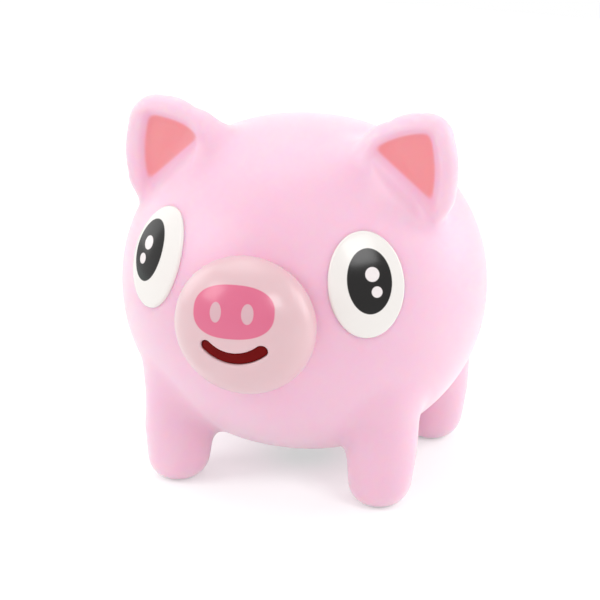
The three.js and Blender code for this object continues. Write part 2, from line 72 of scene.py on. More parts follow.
# %% From millimetres in the pig's frame to metres in the CAD frame
MM = 0.001
cup_low, cup_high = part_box("squeaker_cup")
BODY_AXIS = np.array([cup_low.x + cup_high.x, cup_low.y + cup_high.y, 0.0]) / 2


def placed(points):
    """Millimetres in the pig's frame, as metres in the CAD frame."""
    return np.asarray(points, float) * MM + BODY_AXIS


print("body axis at", np.round(BODY_AXIS / MM, 2), "mm")

# %% [markdown]
# ## The camera
#
# The photograph was taken from a little above, with the pig turned so that its left side shows. A camera
# could be moved by hand until the outlines agree; here its angles come from a fit to the body's outline. A
# long lens from far away keeps the shapes nearly parallel. The small shift slides the whole picture, so
# that the toy stands where it does in the photograph.

# %% Camera
CAMERA_AZIMUTH = np.radians(17.81)
CAMERA_ELEVATION = np.radians(20.62)
CAMERA_DISTANCE = 700.0
FOCAL_LENGTH = 153.8
PICTURE_SHIFT = (-0.0074, -0.0221)
TOY_MIDDLE = np.array([0.0, 0.0, 50.0])

level = np.cos(CAMERA_ELEVATION)
towards_camera = np.array([
    np.sin(CAMERA_AZIMUTH) * level,
    -np.cos(CAMERA_AZIMUTH) * level,
    np.sin(CAMERA_ELEVATION),
])
camera_data = bpy.data.cameras.new("camera")
camera_data.lens = FOCAL_LENGTH
camera_data.shift_x, camera_data.shift_y = PICTURE_SHIFT
camera = bpy.data.objects.new("camera", camera_data)
camera.location = placed(TOY_MIDDLE + CAMERA_DISTANCE * towards_camera)
camera.rotation_euler = (np.pi / 2 - CAMERA_ELEVATION, 0.0, CAMERA_AZIMUTH)
bpy.context.scene.collection.objects.link(camera)
bpy.context.scene.camera = camera
print("camera at", np.round(camera.location, 3))

# %% [markdown]
# ## Tools for meshes
#
# A mesh is a list of points and a list of faces that name those points by number. The eyes, the tongue and
# the spring are all tubes: rings of points joined by quads, with a point that closes each end. So one
# function makes the faces of any tube, and one turns points and faces into a piece.


# %% Make a smooth piece, with named values on its points
def add_piece(name, points, quads, triangles=None, values=None):
    """A smooth-shaded object from points in millimetres, faces and named values at the points."""
    mesh = bpy.data.meshes.new(name)
    faces = quads.tolist() + ([] if triangles is None else triangles.tolist())
    mesh.from_pydata(placed(points).tolist(), [], faces)
    mesh.polygons.foreach_set("use_smooth", np.ones(len(faces), bool))
    for label, numbers in (values or {}).items():
        mesh.attributes.new(label, "FLOAT", "POINT").data.foreach_set("value", np.float32(numbers))
    mesh.update()
    piece = bpy.data.objects.new(name, mesh)
    bpy.context.scene.collection.objects.link(piece)
    print(name, len(points), "points", len(faces), "faces")
    return piece


def tube_faces(rings, around):
    """Quads of a tube of rings, and triangles to a closing point at each end.

    Points are numbered ring by ring; the first end's point and the last end's point come after them.
    """
    ring, step = np.meshgrid(np.arange(rings - 1), np.arange(around), indexing="ij")
    here = ring * around + step
    beside = ring * around + (step + 1) % around
    quads = np.stack([here, beside, beside + around, here + around], -1).reshape(-1, 4)
    turn = np.arange(around)
    following = (turn + 1) % around
    first = rings * around
    start = np.stack([np.full(around, first), following, turn], -1)
    base = (rings - 1) * around
    end = np.stack([np.full(around, first + 1), base + turn, base + following], -1)
    return quads, np.concatenate([start, end])


# %% [markdown]
# ## Fields: shapes that melt into each other
#
# Cast vinyl has no sharp joins: legs and ears flow out of the body. Such a branching skin could be
# sculpted, or modelled from a cube with subdivision. Here it is written as a field, the distance from any
# point to the surface, negative inside. Every size then stays a number, and two shapes join with a soft
# minimum, which fills the corner between them with a fillet.

# %% Soft joins and slopes of fields
TINY = 1e-6  # keeps divisors away from zero


def soft_min(one, other, fillet):
    """The smaller of two distances, less a parabola where they are within a fillet of each other."""
    share = np.clip(0.5 + 0.5 * (other - one) / fillet, 0.0, 1.0)
    return other + (one - other) * share - fillet * share * (1.0 - share)


def soft_max(one, other, fillet):
    """The larger of two distances, rounded the same way: a soft minimum with all signs turned."""
    return -soft_min(-one, -other, fillet)


def gradient(field, points, reach=0.05):
    """Which way a field grows at each point, from differences along the three axes."""
    slopes = [field(points + side) - field(points - side) for side in reach * np.eye(3)]
    return np.stack(slopes, -1) / (2 * reach)


def oval_distance(across, along, half_width, half_length):
    """About how far a point lies outside an oval: its stretched radius past 1, over that radius's slope."""
    stretched = np.hypot(across / half_width, along / half_length)
    rate = np.hypot(across / half_width**2, along / half_length**2)
    return stretched * (stretched - 1.0) / np.maximum(rate, TINY)


print("where two shapes cross, a fillet of 4 mm lies", -soft_min(0.0, 0.0, 4.0), "mm outside both")

# %% [markdown]
# ## A net over a field
#
# The surface is where the field is zero. Metaballs in Blender work that way too, but only with a few plain
# shapes, and a voxel remesh leaves small steps. Here the field is worked out on a grid, a net of quads is
# laid through the cells that the surface crosses, and the net's points are then moved exactly onto the
# surface. It is done on whole arrays, because the grid has more than a million points.

# %% Which cells the surface crosses, and the net through them
CELL_CORNERS = np.array([[i, j, k] for i in (0, 1) for j in (0, 1) for k in (0, 1)])
AXIS_STEPS = np.eye(3, dtype=int)
NEWTON_STEPS = 3


def crossed_cells(inside):
    """The grid cells with corners on both sides of the surface, and a grid of those cells' numbers."""
    corner_inside = []
    for corner in CELL_CORNERS:
        window = tuple(slice(start, start + count - 1) for start, count in zip(corner, inside.shape))
        corner_inside.append(inside[window])
    filled = np.sum(corner_inside, axis=0)
    crossed = (filled > 0) & (filled < len(CELL_CORNERS))
    cells = np.argwhere(crossed)
    number = np.full(crossed.shape, -1)
    number[crossed] = np.arange(len(cells))
    return cells, number


def mean_crossings(value, cells):
    """For each cell, the mean of the places where its edges cross the surface, in grid steps."""
    total = np.zeros((len(cells), 3))
    hits = np.zeros(len(cells))
    for axis in range(3):
        for corner in CELL_CORNERS[CELL_CORNERS[:, axis] == 0]:
            start = cells + corner
            here = value[tuple(start.T)]
            there = value[tuple((start + AXIS_STEPS[axis]).T)]
            cut = (here < 0) != (there < 0)
            where = start[cut].astype(float)
            where[:, axis] += here[cut] / (here[cut] - there[cut])
            total[cut] += where
            hits[cut] += 1
    return total / hits[:, None]


def crossing_quads(inside, number):
    """For each grid edge that crosses the surface, one quad between the four cells round that edge."""
    quads = []
    for axis in range(3):
        one, other = AXIS_STEPS[(axis + 1) % 3], AXIS_STEPS[(axis + 2) % 3]
        near = np.take(inside, range(inside.shape[axis] - 1), axis)
        far = np.take(inside, range(1, inside.shape[axis]), axis)
        edges = np.argwhere(near != far)
        ring = [edges, edges - one, edges - one - other, edges - other]
        quad = np.stack([number[tuple(cell.T)] for cell in ring], -1)
        leaving = near[tuple(edges.T)]
        quads.append(np.where(leaving[:, None], quad, quad[:, ::-1]))
    return np.concatenate(quads)


def net_over(field, low, high, step):
    """Points and quads of the surface where a field is zero, inside a box.

    The net's points start at the mean crossings of their cells. Newton steps, the field's value over its
    slope, then move them onto the surface.
    """
    counts = np.ceil((high - low) / step).astype(int) + 1
    axes = [low[i] + step * np.arange(counts[i]) for i in range(3)]
    value = field(np.stack(np.meshgrid(*axes, indexing="ij"), -1))
    inside = value < 0
    cells, number = crossed_cells(inside)
    points = low + step * mean_crossings(value, cells)
    for _ in range(NEWTON_STEPS):
        slope = gradient(field, points)
        points = points - (field(points) / np.maximum(np.sum(slope**2, -1), TINY))[:, None] * slope
    return points, crossing_quads(inside, number)


# %% [markdown]
# ## The vinyl skin: the body
#
# The skin is cast in one piece. Its body is an egg, a little wider than it is high. A scaled sphere would
# nearly do, but the pig in the photograph has slightly fuller shoulders. A power just above 2, the power of
# a true ellipsoid, gives them.

# %% The egg
BODY_RADII = np.array([49.8, 45.7, 45.4])
BODY_CENTRE = np.array([0.0, 0.0, 52.0])
BODY_POWER = 2.08


def egg_field(points):
    """Distance to the egg: its stretched radius past 1, divided by how fast that grows there."""
    shares = np.abs(points - BODY_CENTRE) / BODY_RADII
    stretched = np.sum(shares**BODY_POWER, -1)**(1 / BODY_POWER)
    slope = (shares / np.maximum(stretched, TINY)[..., None])**(BODY_POWER - 1) / BODY_RADII
    return (stretched - 1.0) / np.maximum(np.linalg.norm(slope, axis=-1), TINY)


print("egg", 2 * BODY_RADII, "mm wide, deep and high")

# %% [markdown]
# ## Legs
#
# Four stubby legs narrow towards feet with round edges. A bevelled cone would give a leg, but not its soft
# join with the belly. One formula makes a pair, because taking x without its sign mirrors it. Each pair
# leans sideways by a millimetre from hip to foot, as it does in the photograph.

# %% Legs
FRONT_LEG = (28.6, -23.3)  # how far beside and behind the body's axis
REAR_LEG = (30.1, 24.5)
FOOT_RADIUS = 7.8
THIGH_RADIUS = 9.5
TAPER_HEIGHT = 15.0  # here the leg is as thick as the thigh
THIGH_Z = 28.0  # middle of the ball that ends the leg inside the body
FOOT_ROUND = 6.5
LEG_FILLET = 4.6
FOOT_SHIFT = -0.2  # the pair's lean: its sideways shift at the floor
HIP_SHIFT = 0.8  # and at the hip
HIP_Z = 22.0


def leg_field(points, beside, back):
    """A pair of legs: a cone from foot to thigh with a ball on top, cut flat and rounded at the floor."""
    x, y, z = np.moveaxis(points, -1, 0)
    lean = FOOT_SHIFT + (HIP_SHIFT - FOOT_SHIFT) * np.clip(z / HIP_Z, 0.0, 1.0)
    out = np.hypot(np.abs(x - lean) - beside, y - back)
    radius = FOOT_RADIUS + (THIGH_RADIUS - FOOT_RADIUS) * np.clip(z / TAPER_HEIGHT, 0.0, 1.0)
    column = np.hypot(out, np.maximum(z - THIGH_Z, 0.0)) - radius
    return soft_max(column, -z, FOOT_ROUND)


print("legs", 2 * FRONT_LEG[0], "mm apart in front,", 2 * REAR_LEG[0], "mm behind")

# %% [markdown]
# ## Ears
#
# Each ear is a thick upright triangle with round corners and bowed sides. Its front is dished, and the dish
# is sprayed salmon. It could be an extruded outline with a bevel. As a field its inner corner can melt
# further into the head than its outer one, and one triangle gives both the dish and the edge of the spray.
# The pair is a little askew, as in the photograph.

# %% Sizes of the ears
EAR_CENTRE = np.array([40.0, -12.4, 96.1])
EAR_CORNERS = np.array([[-11.4, -0.3], [-2.5, -12.1], [-2.8, 1.8]])  # outwards and up from the centre
EAR_CORNER_RADII = np.array([6.8, 7.7, 7.4])
EAR_BULGE = 0.8
EAR_HALF_THICKNESS = 4.3
EAR_EDGE_ROUND = 3.6
EAR_SHIFT, EAR_SLANT = -0.18, 0.022  # sideways move of the pair, and its rise to the pig's left
PAINT_SHIFT, PAINT_SLANT = 0.3, 0.025
PAINT_CORNERS = np.array([[-15.9, 0.2], [-0.9, -13.3], [-1.7, 4.9]])
PAINT_BULGES = [0.0, 1.2, 1.0]
PAINT_ROUND = 2.0
DISH_MARGINS = [5.5, 0.6, 0.6]  # how far the dish reaches past each side of the spray
DISH_DEPTH = 1.2
DISH_ROUND = 2.5
print("ears", 2 * EAR_HALF_THICKNESS, "mm thick, dished by", DISH_DEPTH, "mm")


# %% Fields of the ears
def ear_place(points, shift, slant):
    """Points seen from the middle of the nearer ear: outwards, back and up."""
    x, y, z = np.moveaxis(points, -1, 0)
    return np.abs(x - shift) - EAR_CENTRE[0], y - EAR_CENTRE[1], z - slant * x - EAR_CENTRE[2]


def along_side(place, start, stop, bulge):
    """Share along a triangle's side, distance out of that side, and how far its bow swells there.

    The bow is a parabola, zero at both ends and as high as the bulge in the middle.
    """
    side = stop - start
    along = np.clip((place - start) @ side / (side @ side), 0.0, 1.0)
    reach = (place - start) @ np.array([side[1], -side[0]]) / np.linalg.norm(side)
    return along, reach, 4 * bulge * along * (1 - along)


def ear_outline(across, up):
    """Distance to a triangle with bowed sides and a round corner of its own radius at each end."""
    place = np.stack([across, up], -1)
    nearest, deepest, outside = np.inf, np.inf, -np.inf
    stops, stop_radii = np.roll(EAR_CORNERS, -1, 0), np.roll(EAR_CORNER_RADII, -1)
    for start, stop, start_radius, stop_radius in zip(EAR_CORNERS, stops, EAR_CORNER_RADII, stop_radii):
        along, reach, bow = along_side(place, start, stop, EAR_BULGE)
        swell = np.where(reach > 0, bow, 0.0)
        gap = np.linalg.norm(place - start - along[..., None] * (stop - start), axis=-1) - swell
        radius = start_radius + (stop_radius - start_radius) * along
        nearest = np.minimum(nearest, gap - radius)
        deepest = np.minimum(deepest, gap + radius)
        outside = np.maximum(outside, reach)
    return np.where(outside < 0, -deepest, nearest)


def ear_paint_distance(points, margins=(0.0, 0.0, 0.0)):
    """Distance to the sprayed triangle: the furthest of its bowed sides, softened at the corners.

    Each side can be moved out by a margin of its own.
    """
    across, _, up = ear_place(points, PAINT_SHIFT, PAINT_SLANT)
    place = np.stack([across, up], -1)
    reaches = []
    stops = np.roll(PAINT_CORNERS, -1, 0)
    for start, stop, bulge, margin in zip(PAINT_CORNERS, stops, PAINT_BULGES, margins):
        _, reach, bow = along_side(place, start, stop, bulge)
        reaches.append(reach - bow - margin)
    first, second, third = reaches
    return soft_max(soft_max(first, second, PAINT_ROUND), third, PAINT_ROUND)


def ear_field(points):
    """A pair of ears: a rounded triangle of even thickness with round edges, less the dish in front."""
    across, back, up = ear_place(points, EAR_SHIFT, EAR_SLANT)
    outline = ear_outline(across, up) + EAR_EDGE_ROUND
    through = np.abs(back) - EAR_HALF_THICKNESS + EAR_EDGE_ROUND
    slab = np.minimum(np.maximum(outline, through), 0.0)
    slab = slab + np.hypot(np.maximum(outline, 0.0), np.maximum(through, 0.0)) - EAR_EDGE_ROUND
    hollow = ear_paint_distance(points, DISH_MARGINS)
    dish = soft_max(hollow, back + EAR_HALF_THICKNESS - DISH_DEPTH, DISH_ROUND)
    return soft_max(slab, -dish, DISH_ROUND)


print("an ear's middle is at a distance of", np.round(ear_field(EAR_CENTRE), 2), "mm")

# %% [markdown]
# ## Tail
#
# A short curl of tail sits on the rump. It could be a curve with a bevel. As a field it is the distance to
# the nearest of many points on a helix, and it joins the rump with a fillet like everything else. Only
# points near the tail are measured that way, because it is slow.

# %% Tail
TAIL_Z = 57.9
TAIL_ROOT_Y = 43.9
TAIL_CURL = 4.2  # radius of the helix
TAIL_PITCH = 5.0
TAIL_TURNS = 1.2
TAIL_RADIUS = 1.9
TAIL_THINNING = 0.35  # share of its thickness that the tip loses
TAIL_FILLET = 1.5
TAIL_POINTS = 90
TAIL_NEAR = 3 * TAIL_CURL


def tail_field(points):
    """The tail: distance to the nearest point of a helix, less a radius that thins towards the tip."""
    share = np.linspace(0.0, 1.0, TAIL_POINTS)
    turn = 2 * np.pi * TAIL_TURNS * share
    curl = np.stack([
        TAIL_CURL * np.sin(turn),
        TAIL_ROOT_Y + TAIL_PITCH * TAIL_TURNS * share,
        TAIL_Z - TAIL_CURL * np.cos(turn),
    ], -1)
    radius = TAIL_RADIUS * (1.0 - TAIL_THINNING * share)
    apart = np.linalg.norm(points - curl[TAIL_POINTS // 2], axis=-1)
    near = apart < TAIL_NEAR
    distance = apart - TAIL_CURL
    gaps = np.linalg.norm(points[near][:, None] - curl, axis=-1) - radius
    distance[near] = gaps.min(-1)
    return distance


print("tail", TAIL_TURNS, "turns,", 2 * TAIL_CURL, "mm across")

# %% [markdown]
# ## The whole skin
#
# The skin is open in two places: in front, where the snout's neck goes in, and under the belly, where the
# squeaker cup has a seat and a hole. A boolean would cut them with sharp edges. A soft maximum with the
# cutter turned inside out leaves round ones. Distances to the ear spray go along as values on the points,
# so that the paint can follow them later.

# %% All fields melted together, less the openings
EAR_OUTER_FILLET = 5.2
EAR_INNER_FILLET = 13.5
EAR_FILLET_START, EAR_FILLET_STOP = -4.0, -16.0  # between these it grows towards the head
SNOUT_Z = 57.2
SNOUT_OPENING = 13.5
OPENING_REAR_Y = -32.0
OPENING_ROUND = 2.0
OPENING_FLOOR_ROUND = 1.0
CUP_SEAT_RADIUS, CUP_SEAT_Z = 9.7, 7.3
CUP_HOLE_RADIUS, CUP_HOLE_TOP = 7.3, 22.0
CUP_ROUND = 0.4


def skin_field(points):
    """The skin: body, legs, ears and tail joined by soft minimums, less the two openings."""
    x, y, z = np.moveaxis(points, -1, 0)
    legs = np.minimum(leg_field(points, *FRONT_LEG), leg_field(points, *REAR_LEG))
    skin = soft_min(egg_field(points), legs, LEG_FILLET)
    across_ear, _, _ = ear_place(points, EAR_SHIFT, EAR_SLANT)
    inwards = (across_ear - EAR_FILLET_START) / (EAR_FILLET_STOP - EAR_FILLET_START)
    ear_fillet = EAR_OUTER_FILLET + (EAR_INNER_FILLET - EAR_OUTER_FILLET) * np.clip(inwards, 0.0, 1.0)
    skin = soft_min(skin, ear_field(points), ear_fillet)
    skin = soft_min(skin, tail_field(points), TAIL_FILLET)
    snout_bore = np.hypot(x, z - SNOUT_Z) - SNOUT_OPENING
    snout_opening = soft_max(snout_bore, y - OPENING_REAR_Y, OPENING_FLOOR_ROUND)
    from_axis = np.hypot(x, y)
    seat = np.maximum(from_axis - CUP_SEAT_RADIUS, z - CUP_SEAT_Z)
    hole = np.maximum(from_axis - CUP_HOLE_RADIUS, z - CUP_HOLE_TOP)
    skin = soft_max(skin, -snout_opening, OPENING_ROUND)
    return soft_max(skin, -np.minimum(seat, hole), CUP_ROUND)


print("openings", 2 * SNOUT_OPENING, "mm for the snout,", 2 * CUP_SEAT_RADIUS, "mm for the cup")

# %% Draw the skin
SKIN_STEP = 0.9
SKIN_LOW = np.array([-54.35, -50.45, -2.1])  # from here, each edge of the net joins just two faces
SKIN_HIGH = np.array([54.0, 54.0, 109.0])
SPRAY_BACK = 0.5  # the spray reaches no further back than this behind the ear's middle
OUT_OF_SPRAY = 5.0

skin_points, skin_quads = net_over(skin_field, SKIN_LOW, SKIN_HIGH, SKIN_STEP)
_, behind_ear, _ = ear_place(skin_points, PAINT_SHIFT, PAINT_SLANT)
ear_paint = np.where(behind_ear < SPRAY_BACK, ear_paint_distance(skin_points), OUT_OF_SPRAY)
skin = add_piece("vinyl_skin", skin_points, skin_quads, values={"ear_paint": ear_paint})

# %% [markdown]
# ## The eyes
#
# Each eye is an oval insert of hard plastic that follows the body's curve and stands a little proud of it.
# It could be cut from a copy of the skin and thickened. Here it is laid out flat, as rings from its middle
# to its rim, over a small round and down into the skin, and each point is then dropped onto the egg. That
# keeps the rim even, and the flat layout also says where the pupil and its glints are printed.

# %% An eye laid out flat
EYE_HALF_WIDTH, EYE_HALF_LENGTH = 10.2, 13.8
EYE_PROUD = 0.6
EYE_RIM = 0.6  # radius of the round at the rim
EYE_BURIED = 2.4
EYE_RINGS, RIM_RINGS, EYE_AROUND = 56, 7, 160
FIRST_RING = 0.02  # share of the oval at the ring next to the middle


def flat_eye():
    """Points of a flat eye ring by ring, across, along and in height, and the number of rings."""
    turn = np.linspace(0.0, np.pi / 2, RIM_RINGS + 1)[1:]
    face = np.ones(EYE_RINGS)
    share = np.concatenate([np.linspace(FIRST_RING, 1.0, EYE_RINGS), np.ones(RIM_RINGS + 2)])[:, None]
    inset = EYE_RIM * np.concatenate([face, 1 - np.sin(turn), [0.0, 1.0]])[:, None]
    over_rim = EYE_PROUD - EYE_RIM * (1 - np.cos(turn))
    height = np.concatenate([EYE_PROUD * face, over_rim, [EYE_RIM - EYE_BURIED, -EYE_BURIED]])
    around = np.linspace(0.0, 2 * np.pi, EYE_AROUND, endpoint=False)
    across = share * (EYE_HALF_WIDTH - inset) * np.cos(around)
    along = share * (EYE_HALF_LENGTH - inset) * np.sin(around)
    rings = np.stack([across, along, np.broadcast_to(height[:, None], across.shape)], -1)
    ends = [[0.0, 0.0, EYE_PROUD], [0.0, 0.0, -EYE_BURIED]]
    return np.concatenate([rings.reshape(-1, 3), ends]), len(height)


print("flat eye", 2 * EYE_HALF_WIDTH, "by", 2 * EYE_HALF_LENGTH, "mm")

# %% Eyes dropped onto the egg, with distances to the pupil and to its two glints
EYE_PLACES = {1: (27.9, 14.3), -1: (30.0, 15.0)}  # left and right: beside and above the egg's middle
PUPIL_HALF_WIDTH, PUPIL_HALF_LENGTH = 6.0, 8.5
PUPIL_OUT = {1: 0.6, -1: 2.5}
PUPIL_UP = {1: 0.85, -1: 1.0}
GLINTS = [(0.8, 1.7, 1.9), (1.7, -2.9, 1.45)]  # out and up from the pupil's middle, and radius
DROP_STEPS = 6
LEAST_FACING = 0.2


def eye_axes(side):
    """An eye's middle on the egg, the way it looks, and its own outward and upward directions.

    It looks along the egg's slope. Up is the vertical, less its part along that look.
    """
    beside, rise = EYE_PLACES[side]
    squares = (beside / BODY_RADII[0])**2 + (rise / BODY_RADII[2])**2
    middle = BODY_CENTRE + np.array([side * beside, -BODY_RADII[1] * np.sqrt(1.0 - squares), rise])
    looks = gradient(egg_field, middle)
    looks /= np.linalg.norm(looks)
    up = np.array([0.0, 0.0, 1.0]) - looks[2] * looks
    up /= np.linalg.norm(up)
    return middle, looks, side * np.cross(up, looks), up


def add_eye(name, side):
    """An eye on the pig's left (1) or right (-1): the flat eye dropped along its axis onto the egg.

    Each drop step is the egg's field over how squarely the egg faces the axis at that point.
    """
    flat, rings = flat_eye()
    middle, looks, out, up = eye_axes(side)
    points = middle + flat[:, :1] * out + flat[:, 1:2] * up
    for _ in range(DROP_STEPS):
        facing = np.maximum(gradient(egg_field, points) @ looks, LEAST_FACING)
        points = points - (egg_field(points) / facing)[:, None] * looks
    points = points + flat[:, 2:] * looks
    across, along = flat[:, 0] - PUPIL_OUT[side], flat[:, 1] - PUPIL_UP[side]
    pupil = oval_distance(across, along, PUPIL_HALF_WIDTH, PUPIL_HALF_LENGTH)
    glints = [np.hypot(across - beside, along - above) - radius for beside, above, radius in GLINTS]
    quads, triangles = tube_faces(rings, EYE_AROUND)
    if side > 0:  # the eyes mirror each other, so one of them has its faces turned round
        quads, triangles = quads[:, ::-1], triangles[:, ::-1]
    return add_piece(name, points, quads, triangles, {"pupil": pupil, "glint": np.minimum(*glints)})


left_eye = add_eye("left_eye_insert", 1)
right_eye = add_eye("right_eye_insert", -1)

# %% [markdown]
# ## The snout
#
# The snout is a hollow milky dome on a short neck, with a smile cut right through its wall. It could be a
# turned profile with a boolean for the smile. It is a field too, because the cut's edges are softly rounded
# and the wall then has the same thickness everywhere. The nose is only printed on, so it isn't a shape but
# a distance on the points.

# %% Snout and smile
SNOUT_FRONT_Y = -62.2
SNOUT_RADIUS = 18.7
SNOUT_CROWN = 13.0  # from the dome's widest place to its front
SNOUT_UPRIGHT = 0.975  # height of the round over its width
SNOUT_WALL = 1.8
SNOUT_REAR_Y = -36.0
NECK_RADIUS = 15.0
NECK_FILLET, WALL_ROUND, REAR_ROUND, SMILE_ROUND = 1.0, 0.3, 0.4, 0.8
GIRTH_Y = SNOUT_FRONT_Y + SNOUT_CROWN
SMILE_X = 0.75
SMILE_RADIUS = 11.6
SMILE_DROP = 4.6  # its lowest place under the middle of the snout
SMILE_HALF_CHORD = 7.2
SMILE_WIDTH = 3.2
SMILE_CENTRE_Z = SNOUT_Z + SMILE_RADIUS - SMILE_DROP
SMILE_SPREAD = np.arcsin(SMILE_HALF_CHORD / SMILE_RADIUS)


def dome_field(points, inset):
    """A round button, flatter from front to back, on a straight neck behind its girth."""
    x, y, z = np.moveaxis(points, -1, 0)
    out, ahead = np.hypot(x, (z - SNOUT_Z) / SNOUT_UPRIGHT), y - GIRTH_Y
    button = oval_distance(out, ahead, SNOUT_RADIUS - inset, SNOUT_CROWN - inset)
    neck = np.maximum(out - NECK_RADIUS + inset, -ahead)
    return soft_min(button, neck, NECK_FILLET)


def smile_distance(x, z):
    """Distance to the smile: to an arc, or to the arc's end past its ends, less half the slot."""
    aside = np.abs(x - SMILE_X)
    turn = np.arctan2(aside, SMILE_CENTRE_Z - z)
    held = np.minimum(turn, SMILE_SPREAD)
    end_x, end_z = SMILE_RADIUS * np.sin(held), SMILE_CENTRE_Z - SMILE_RADIUS * np.cos(held)
    return np.hypot(aside - end_x, z - end_z) - SMILE_WIDTH / 2


def snout_field(points):
    """The dome's wall, cut off at the back and cut through by the smile."""
    x, y, z = np.moveaxis(points, -1, 0)
    wall = soft_max(dome_field(points, 0.0), -dome_field(points, SNOUT_WALL), WALL_ROUND)
    wall = soft_max(wall, y - SNOUT_REAR_Y, REAR_ROUND)
    slot = np.maximum(smile_distance(x, z), y - GIRTH_Y)
    return soft_max(wall, -slot, SMILE_ROUND)


print("smile", 2 * SMILE_HALF_CHORD + SMILE_WIDTH, "mm from end to end")

# %% Draw the snout, with distances to the printed nose and the nostrils
SNOUT_STEP = 0.4
SNOUT_MARGIN, FRONT_MARGIN, REAR_MARGIN = 2.23, 0.9, 1.0  # room between the snout and its grid's edges
NOSE_MIDDLE = np.array([0.25, -60.8, 65.0])
NOSE_UP = np.array([0.0, 0.324, 0.946])  # up along the dome's slope
NOSE_TURN = np.radians(2.3)
NOSE_HALF_WIDTH, NOSE_HALF_HEIGHT, NOSE_POWER = 10.7, 6.85, 2.45  # a power over 2 squares the oval
NOSTRIL_X, NOSTRIL_DROP = 4.2, 0.3
NOSTRIL_HALF_WIDTH, NOSTRIL_HALF_HEIGHT = 1.55, 2.6
OUT_OF_PRINT = 9.0

reach = SNOUT_RADIUS + SNOUT_MARGIN
snout_low = np.array([-reach, SNOUT_FRONT_Y - FRONT_MARGIN, SNOUT_Z - reach])
snout_high = np.array([reach, SNOUT_REAR_Y + REAR_MARGIN, SNOUT_Z + reach])
snout_points, snout_quads = net_over(snout_field, snout_low, snout_high, SNOUT_STEP)
level_x, level_up = snout_points[:, 0] - NOSE_MIDDLE[0], (snout_points - NOSE_MIDDLE) @ NOSE_UP
beside = np.abs(level_x * np.cos(NOSE_TURN) + level_up * np.sin(NOSE_TURN))
above = level_up * np.cos(NOSE_TURN) - level_x * np.sin(NOSE_TURN)
stretched = (beside / NOSE_HALF_WIDTH)**NOSE_POWER + (np.abs(above) / NOSE_HALF_HEIGHT)**NOSE_POWER
nose = NOSE_HALF_HEIGHT * (stretched**(1 / NOSE_POWER) - 1.0)
nose = np.where(snout_points[:, 1] < GIRTH_Y, nose, OUT_OF_PRINT)
nostril = oval_distance(beside - NOSTRIL_X, above + NOSTRIL_DROP, NOSTRIL_HALF_WIDTH, NOSTRIL_HALF_HEIGHT)
snout = add_piece("snout_shell", snout_points, snout_quads, values={"nose": nose, "nostril": nostril})

# %% [markdown]
# ## The tongue
#
# The tongue is a strip of soft vinyl with the smile's own section, a little slimmer than the slot, so that
# it slides without rubbing. It could be a curve with a bevel shape of its own. Here the section is a ring
# of points carried along Y; the rings shrink at the tip to round it. The tip is also bowed like the face of
# the snout, so that it fills the smile evenly from side to side.

# %% Rings with the smile's section
ARC_STEPS, CAP_STEPS = 40, 12


def smile_section(half_widths, spreads):
    """Rings of points round a smile, one ring for each half width and spread.

    A ring runs along the lower arc, round one end, back along the upper arc and round the other end.
    """
    sweep = np.linspace(-1.0, 1.0, ARC_STEPS)
    cap = np.linspace(0.0, np.pi, CAP_STEPS + 2)[1:-1]
    arc_ones, arc_zeros, cap_ones = np.ones(ARC_STEPS), np.zeros(ARC_STEPS), np.ones(CAP_STEPS)
    turn = np.concatenate([sweep, cap_ones, -sweep, -cap_ones]) * spreads[:, None]
    bulge = np.concatenate([arc_ones, np.cos(cap), -arc_ones, -np.cos(cap)]) * half_widths[:, None]
    past = np.concatenate([arc_zeros, np.sin(cap), arc_zeros, -np.sin(cap)]) * half_widths[:, None]
    x = SMILE_X + (SMILE_RADIUS + bulge) * np.sin(turn) + past * np.cos(turn)
    z = SMILE_CENTRE_Z - (SMILE_RADIUS + bulge) * np.cos(turn) + past * np.sin(turn)
    return x, z


def snout_face(x, z):
    """The front of the dome, in Y, at a place in its round: the height of an ellipse there."""
    out = np.hypot(x, (z - SNOUT_Z) / SNOUT_UPRIGHT) / SNOUT_RADIUS
    return GIRTH_Y - SNOUT_CROWN * np.sqrt(1.0 - out**2)


print("a section has", 2 * (ARC_STEPS + CAP_STEPS), "points")

# %% The tongue along its path
TONGUE_RINGS = 60
TONGUE_RECESS = 0.7  # how far the tip rests behind the snout's face
TONGUE_ROOT_Y = -6.0
TONGUE_GAP = 0.07
TIP_ROUND = 0.4
TIP_SLIMMER, TIP_SHORTER = 0.25, 0.05  # shares of its width and of its arc that the tip loses
FIRST_TURN = 0.02

smile_low_z = SMILE_CENTRE_Z - SMILE_RADIUS
face_y = snout_face(SMILE_X, smile_low_z)
tip_y = face_y + TONGUE_RECESS
tip_turn = np.linspace(FIRST_TURN, np.pi / 2, TONGUE_RINGS // 2)
straight_y = np.linspace(tip_y + TIP_ROUND, TONGUE_ROOT_Y, TONGUE_RINGS // 2 + 1)[1:]
tongue_y = np.concatenate([tip_y + TIP_ROUND * (1 - np.cos(tip_turn)), straight_y])
into = np.clip((tongue_y - tip_y) / TIP_ROUND, 0.0, 1.0)
drawn_in = 1.0 - np.sqrt(1.0 - (1.0 - into)**2)
half_widths = (SMILE_WIDTH / 2 - TONGUE_GAP) * (1.0 - TIP_SLIMMER * drawn_in)
tongue_x, tongue_z = smile_section(half_widths, SMILE_SPREAD * (1.0 - TIP_SHORTER * drawn_in))
back_share = (tongue_y - tongue_y[0]) / (tongue_y[-1] - tongue_y[0])
bow = (snout_face(tongue_x, tongue_z) - face_y) * (1.0 - back_share[:, None])
tongue_points = np.stack([tongue_x, tongue_y[:, None] + bow, tongue_z], -1).reshape(-1, 3)
ends = [[SMILE_X, tongue_y[0], smile_low_z], [SMILE_X, tongue_y[-1], smile_low_z]]
tongue_points = np.concatenate([tongue_points, ends])
tongue_quads, tongue_triangles = tube_faces(TONGUE_RINGS, tongue_x.shape[1])
